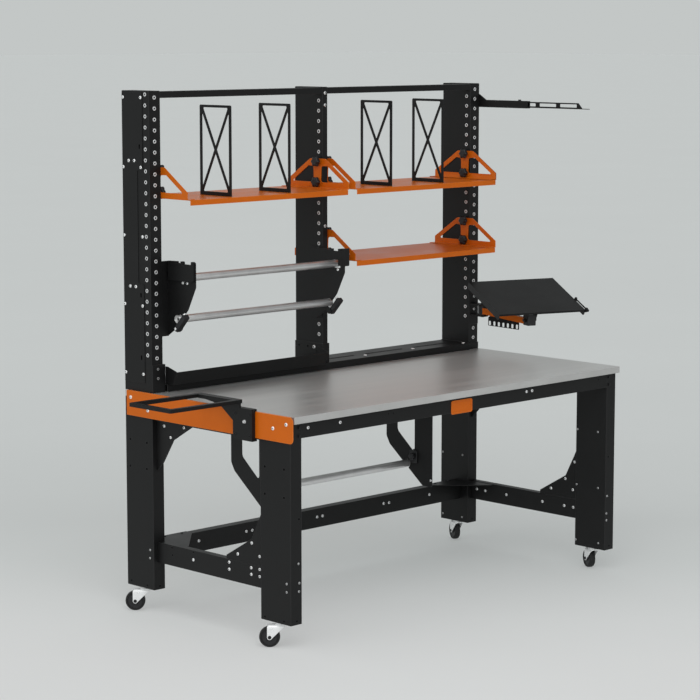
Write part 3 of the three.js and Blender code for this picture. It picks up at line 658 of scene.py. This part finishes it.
# small plain plate on two rivets, on the front apron
kit = Kit()
block(kit, 818, 933, -772.6, -770.9, 752, 804, 0.5, 8, edge_mat=1)
prism(kit, [(818.6, 752.6, 7.5), (932.4, 752.6, 7.5), (932.4, 803.4, 7.5), (818.6, 803.4, 7.5)], (0, 0, 0), X, Z, 772.5, 774.0, 0.4,
      holes=[[(824, 758, 4), (927, 758, 4), (927, 798, 4), (824, 798, 4)]], edge_mat=1)
for x in (829.5, 921.5):
    revolve(kit, (x, -772.6, 777.5), FRONT, [(3.2, 0), (3.0, 0.6), (2.2, 1.1), (0, 1.3)], 14)
make("badge_plate", kit, "bench", [ORANGE, ORANGE_EDGE])

# steel band around the worktop's edge
kit = Kit()
block(kit, 0.4, 1781.9, -791.7, -790.95, 815.0, 837.8, 0.25)
block(kit, 1782.25, 1783.0, -790.6, 133.6, 815.0, 837.8, 0.25)
block(kit, 0.4, 1781.9, 133.95, 134.7, 815.0, 837.6, 0.25)
make("worktop_edge_band", kit, "bench", [STEEL_BAND])

# ---------------------------------------------------------------- star knobs of the shelf brackets
for name, x, out, rows in (("left_a", 57, 1, (1658.6, 1578.6)), ("left_b", 873.7, -1, (1658.6, 1578.6)),
                           ("right_upper_a", 913.5, 1, (1658.6, 1578.6)), ("right_upper_b", 1725.5, -1, (1658.6, 1578.6)),
                           ("right_lower_a", 913.5, 1, (1378.6, 1298.6)), ("right_lower_b", 1725.5, -1, (1378.6, 1298.6))):
    kit = Kit()
    for z in rows:
        star_knob(kit, (x, 0, z + 2.5), (out, 0, 0), 19.0, 24.0)
    make(f"star_knobs_{name}", kit, "bench", [PLASTIC])

# ---------------------------------------------------------------- roll tubes
def roll_tube(name, y, z, x0, x1):
    kit = Kit()
    L = x1 - x0
    # the bore deeper than 18 mm from either end takes the near-black finish: painted shade inside the tube
    revolve(kit, (x0, y, z), RIGHT, [(12.5, 0.6), (12.9, 0.05), (14.1, 0.05), (14.5, 0.6), (14.5, L * 0.25), (14.5, L * 0.5), (14.5, L * 0.75), (14.5, L - 0.6), (14.1, L - 0.05),
                                     (12.9, L - 0.05), (12.5, L - 0.6), (12.5, L - 18, 1), (12.5, 18)], 48, closed=True)
    # turned plug with a centre hole, set back in each end; the hole is painted shade in the near-black finish
    for h, d in ((5.0, -1), (L - 5.0, 1)):
        revolve(kit, (x0 + h, y, z), (d, 0, 0), [(12.45, -3), (12.45, 0), (11.2, 0.5), (6, 0.5), (5.2, 0), (4.8, -2.4, 1), (0, -2.4, 1)], 32)
    make(f"{name}_bright", kit, name, [TUBE, HOLE_SHADE], replaces=(name,))


roll_tube("roll_tube_upper", -120, 1270, 79, 866)
roll_tube("roll_tube_lower", -92, 1116, 65, 852)
roll_tube("under_tube", -484, 524, 84.8, 899)

# ---------------------------------------------------------------- tube clips: grip ribs and clamp screws
A, B = Vector((0, 0.678, -0.735)), Vector((0, -0.735, -0.678))
for side, x0, x1, xs in (("left", 58.8, 82.4, 75.0), ("right", 847.6, 871.6, 855.0)):
    o = Vector((0, -109, 1100))
    kit = Kit()
    for a in range(-32, 20, 6):
        prism(kit, [(x0 + 2, a - 1.6, 1.2), (x1 - 2, a - 1.6, 1.2), (x1 - 2, a + 1.6, 1.2), (x0 + 2, a + 1.6, 1.2)], o, X, A if X.cross(A).dot(B) > 0 else -A, 9.9, 11.1, 0.5)
    make(f"clip_ribs_{side}", kit, f"tube_clip_{side}", [PLASTIC])
    kit = Kit()
    for a in (-35, 18):
        revolve(kit, o + A * a + Vector((xs, 0, 0)) + B * -8.0, -B, [(3.2, 0), (3.2, 1.6), (6.4, 1.6), (6.4, 6.0), (5.6, 7.0), (2.9, 7.0), (2.7, 5.0, 1), (0, 5.0, 1)], 20)
    make(f"clip_screws_{side}", kit, f"tube_clip_{side}", BOLT_MATS)
    kit = Kit()
    for xa, d in ((x0 - 1.9, -1), (x1 + 1.2, 1)):
        revolve(kit, (xa, -91.37, 1080.89), (d, 0, 0), [(5.0, -0.6), (5.0, 0.4), (4.2, 1.0), (0, 1.2)], 18)
    make(f"clip_pin_caps_{side}", kit, "bench", [ZINC])

# screws of the roll brackets beside the upper tube
kit = Kit()
for y in (-107, -132):
    button(kit, (83, y, 1250.5), LEFT, 11, 4)
make("roll_screws_left", kit, "bench", BOLT_MATS)
kit = Kit()
button(kit, (844, -141, 1247.5), LEFT, 11, 4)
make("roll_screws_right", kit, "bench", BOLT_MATS)

# retaining clip of the roll below the worktop
kit = Kit()
block(kit, 887.2, 893.0, -534, -506, 520, 581, 1.2, 5)
block(kit, 876.5, 882.8, -538, -500, 530, 579, 1.2, 6)
star_knob(kit, (876.5, -519, 556), LEFT, 13.0, 13.0)
make("under_roll_clip", kit, "bench", [PLASTIC])

# ---------------------------------------------------------------- casters
def tmin(z):
    if z < 33.4:
        return 42 - math.sqrt(max(0.0, 81 - (37.5 - z) ** 2))
    return max(-10.5, 34.0 - (z - 33.4) * 1.02) if z < 76 else -10.5 - (z - 76) * 1.4


def tmax(z):
    if z < 37.5:
        return 42 + math.sqrt(max(0.0, 81 - (37.5 - z) ** 2))
    return 51.0 if z < 72 else 51.0 - (z - 72) ** 2 * 0.055


def caster(corner, x, y, t):
    t = Vector((t[0], t[1], 0)).normalized()
    s = Vector((-t.y, t.x, 0))
    o = Vector((x, y, 0))
    section = [(-16.3, z) for z in (28.55, 28.9, 29.6, 30.8, 32.4, 34.6, 37.5, 44, 52, 60, 66, 71.6)]
    section += [(-16.3 + 10 * (1 - math.cos(a)), 71.6 + 10 * math.sin(a)) for a in [math.pi / 2 * k / 6 for k in range(1, 7)]]
    section += [(-q, z) for q, z in section[::-1]]
    nv = 8
    verts, faces = [], []
    for q, z in section:
        a, b = tmin(z), tmax(z)
        for k in range(nv + 1):
            verts.append(o + t * (a + (b - a) * k / nv) + s * q + Z * z)
    for i in range(len(section) - 1):
        for k in range(nv):
            faces.append([i * (nv + 1) + k, i * (nv + 1) + k + 1, (i + 1) * (nv + 1) + k + 1, (i + 1) * (nv + 1) + k])
    kit = Kit()
    kit.add(verts, faces, 0)
    fork = make(f"caster_fork_{corner}_sheet", kit, f"caster_fork_{corner}", [ZINC], sharp=50, solid=2.2, bevel=0.5, replaces=(f"caster_fork_{corner}",))

    kit = Kit()
    # the narrow band between the two races takes the near-black finish: painted shade in the gap
    revolve(kit, o, UP, [(19, 82.0), (22.4, 82.6), (23.2, 83.6), (23.2, 86.0), (22.2, 86.9), (20.2, 87.0, 1), (20.0, 87.8), (22.2, 88.0), (23.0, 88.8), (23.0, 90.8), (22.2, 91.5), (0, 91.55)], 40)
    revolve(kit, o, DOWN, [(9.0, -80.6), (9.0, -79.2), (8.0, -78.0), (0, -77.4)], 24)
    make(f"caster_race_{corner}", kit, f"caster_fork_{corner}", BOLT_MATS)
    kit = Kit()
    axle = o + t * 42 + Z * 37.5
    for d in (1, -1):
        hexagon(kit, axle + s * (d * 17.35), s * d, 9.6, 4.4, 13)
        revolve(kit, axle + s * (d * 13.5), s * d, [(7, 0), (7, 1.6), (0, 1.6)], 20)
    make(f"caster_axle_{corner}", kit, f"caster_fork_{corner}", [OXIDE])

    kit = Kit()
    half = [(4.2, -13.3), (9.6, -13.3), (10.8, -12.4), (11.4, -10.6), (13.2, -9.6), (16, -9.3), (25.6, -9.3), (27.6, -9.9), (28.6, -11.2, 1), (29.4, -10.2, 1), (30.4, -11.6, 1), (33, -12.1, 1), (35.4, -11.3, 1),
            (36.8, -9.2, 1), (37.35, -6.2, 1), (37.5, -3, 1)]
    prof = [p if len(p) > 2 else p + (0,) for p in half]
    back = []
    for i in range(len(prof) - 1, -1, -1):
        m = prof[i - 1][2] if i else 0
        back.append((prof[i][0], -prof[i][1], m))
    revolve(kit, axle, s, prof + back, 64, closed=True)
    # ribs on both faces of the hub
    u, v, n = axes(s)
    for d in (1, -1):
        for k in range(6):
            a = math.pi / 3 * k
            e, f = u * math.cos(a) + v * math.sin(a), -u * math.sin(a) + v * math.cos(a)
            f = f * d
            prism(kit, [(12, -1.6), (26.6, -1.3), (26.6, 1.3), (12, 1.6)], axle, e, f, 9.0, 10.2, 0.4)
    make(f"caster_wheel_{corner}_tyred", kit, f"caster_wheel_{corner}", [PLASTIC, RUBBER], sharp=30, replaces=(f"caster_wheel_{corner}",))


for corner, x, y, t in (("front_left", 26.75, -692.8, (-0.722, 0.692)), ("rear_left", 26.75, 56.0, (-0.722, 0.692)),
                        ("front_right", 1755.55, -692.8, (0.42, 0.9075)), ("rear_right", 1755.55, 56.0, (0.42, 0.9075))):
    caster(corner, x, y, t)

# ---------------------------------------------------------------- bag ring: clamp screw and brace
kit = Kit()
hexagon(kit, (-26, -563, 801), LEFT, 11, 6.5, 13)
make("bag_clamp_bolt", kit, "bag_holder", [ZINC_INSERT])
kit = Kit()
revolve(kit, (-17.5, -601, 841), FRONT, [(5.4, -0.3), (5.4, 2.2), (4.6, 3.0), (3.0, 3.0), (2.8, 1.6), (0, 1.6)], 20)
for y in (-590, -512):
    button(kit, (-26, y, 826), LEFT, 10, 3)
    button(kit, (-26, y, 752), LEFT, 10, 3)
make("bag_clamp_screws", kit, "bag_holder", [OXIDE, HOLE_SHADE])

# ---------------------------------------------------------------- tray on its swivel arm
turn, tilt = math.radians(20), math.radians(21)
tU = Vector((math.cos(turn), -math.sin(turn), 0))
tR = Vector((math.sin(turn), math.cos(turn), 0))
tV = Vector((tR.x * math.cos(tilt), tR.y * math.cos(tilt), math.sin(tilt)))
tN = tU.cross(tV)
TRAY, HEAD = Vector((1840.7, -244.1, 1074.1)), Vector((1790, -305, 984))
kit = Kit()
prism(kit, [(-19.2, -23, 5), (19.2, -23, 5), (19.2, 20.6, 4), (-19.2, 20.6, 4)], HEAD, tU, tR, -23, 22, 1.4)
make("tilt_head_cover", kit, "tray_arm", [PLASTIC])
kit = Kit()
for d in (1, -1):
    hexagon(kit, HEAD + tU * (d * 23.2), tU * d, 15, 6.5, 18)
make("tilt_nuts", kit, "tray_arm", [OXIDE])

# slotted hook strip under the arm, in the arm's plane
S = Vector((0.150442, -0.988619, 0))
O = Vector((1755, -75, 0))
kit = Kit()
holes = []
for k in range(7):
    c, m = 37 + k * 22.4, 955.3 - k
    holes.append([(c - 5.2, m - 9, 3.5), (c + 5.2, m - 9, 3.5), (c + 5.2, m + 9, 3.5), (c - 5.2, m + 9, 3.5)])
prism(kit, [(29, 944.4, 3), (182, 937.4, 3), (182, 973, 2), (44, 990.5, 2), (29, 979, 3)], O, S, Z, -1.2, 1.2, 0.4, holes=holes, edge_mat=1)
make("hook_strip", kit, "tray_arm", [BLACK, BLACK_EDGE])

# small bar on two posts along the tray's right edge
kit = Kit()
def on_tray(u, v, n):
    return TRAY + tU * u + tV * v + tN * n
sweep(kit, [on_tray(208.4, v, 0.0) for v in (-46, -82, -118, -155)], 3.1, 12)
for v in (-50, -146):
    revolve(kit, on_tray(201.1, v, -6), tU, [(7.0, -0.4), (7.0, 8.0), (6.0, 10.0), (3.2, 10.6), (0, 10.6)], 18)
    revolve(kit, on_tray(208.4, v, 0.0), tN, [(0, -6.2), (4.2, -5.4), (6.0, -1.0), (6.4, 2.0), (5.4, 5.4), (3.0, 7.2), (0, 7.6)], 18)
revolve(kit, on_tray(208.4, -156, 0.0), tV * -1, [(0, -7), (4.4, -5.6), (6.2, -2.0), (6.2, 1.6), (4.6, 4.4), (2.4, 5.6), (0, 5.8)], 18)
make("tray_edge_bar", kit, "tilt_tray", [BLACK])

# pin cap and bolts of the tray's wall bracket
kit = Kit()
hexagon(kit, (1755, -75, 1033), UP, 14, 7, 22)
revolve(kit, (1755, -75, 981), DOWN, [(9, 0), (9, 2), (7.5, 3.2), (0, 3.6)], 24)
make("tray_pin_caps", kit, "bench", [OXIDE])

# plastic sleeve round the swivel hub
kit = Kit()
revolve(kit, (1755, -75, 988.2), UP, [(17.0, 0.5), (17.4, 0), (18.2, 0), (18.7, 0.6), (18.7, 37.2), (18.2, 37.8), (17.4, 37.8), (17.0, 37.3)], 40, closed=True)
make("swivel_sleeve", kit, "tray_arm", [PLASTIC])

# ---------------------------------------------------------------- boom
kit = Kit()
hexagon(kit, (1795, -235, 1883), UP, 12, 5.0, 15)
for y in (60, 20):
    button(kit, (1786, y, 1900), RIGHT, 12)
make("boom_bolts", kit, "bench", [OXIDE, HOLE_SHADE])

# ---------------------------------------------------------------- floor and light
me = bpy.data.meshes.new("floor")
me.from_pydata([(-160, -160, 0), (160, -160, 0), (160, 160, 0), (-160, 160, 0)], [], [(0, 1, 2, 3)])
me.materials.append(FLOOR)
floor = bpy.data.objects.new("floor", me)
bpy.context.scene.collection.objects.link(floor)

world = bpy.data.worlds.new("studio")
bpy.context.scene.world = world
world.use_nodes = True
t = world.node_tree
bg = t.nodes["Background"]
co = node(t, "ShaderNodeTexCoord")
dot = node(t, "ShaderNodeVectorMath")
dot.operation = "DOT_PRODUCT"
dot.inputs[1].default_value = Vector((0.78, -0.60, 0.15)).normalized()
t.links.new(co.outputs["Generated"], dot.inputs[0])
side = node(t, "ShaderNodeMapRange")
side.inputs["From Min"].default_value = 0.0
side.inputs["From Max"].default_value = 0.85
t.links.new(dot.outputs["Value"], side.inputs["Value"])
mix = t.nodes.new("ShaderNodeMix")
mix.data_type = "RGBA"
mix.inputs[6].default_value = (0.545, 0.567, 0.563, 1)
mix.inputs[7].default_value = (0.265, 0.274, 0.274, 1)
t.links.new(side.outputs["Result"], mix.inputs[0])
path = t.nodes.new("ShaderNodeLightPath")
seen = t.nodes.new("ShaderNodeMix")
seen.data_type = "RGBA"
seen.inputs[7].default_value = (0.546, 0.570, 0.564, 1)
t.links.new(path.outputs["Is Camera Ray"], seen.inputs[0])
t.links.new(mix.outputs[2], seen.inputs[6])
t.links.new(seen.outputs[2], bg.inputs["Color"])
bg.inputs["Strength"].default_value = 1.0


def area_light(name, at, to, size, power, colour=(1, 1, 1)):
    l = bpy.data.lights.new(name, "AREA")
    l.shape = "DISK"
    l.size = size
    l.energy = power
    l.color = colour
    o = bpy.data.objects.new(name, l)
    bpy.context.scene.collection.objects.link(o)
    o.location = W(*at)
    o.rotation_euler = (W(*to) - W(*at)).to_track_quat("-Z", "Y").to_euler()
    return o


area_light("front_pool", (-1200, -2900, 3400), (-150, -1500, 0), 2.6, 33)

for name, power, spread, way in (("sky_panel", 0.06, 70, (0.30, 0.28, -1.0)), ("front_panel", 1.0, 115, (0.66, 0.62, -0.42))):
    l = bpy.data.lights.new(name, "SUN")
    l.energy = power
    l.angle = math.radians(spread)
    o = bpy.data.objects.new(name, l)
    bpy.context.scene.collection.objects.link(o)
    o.rotation_euler = Vector(way).to_track_quat("-Z", "Y").to_euler()

scene = bpy.context.scene
scene.view_settings.view_transform = "Standard"
scene.view_settings.look = "None"

bpy.context.view_layer.update()
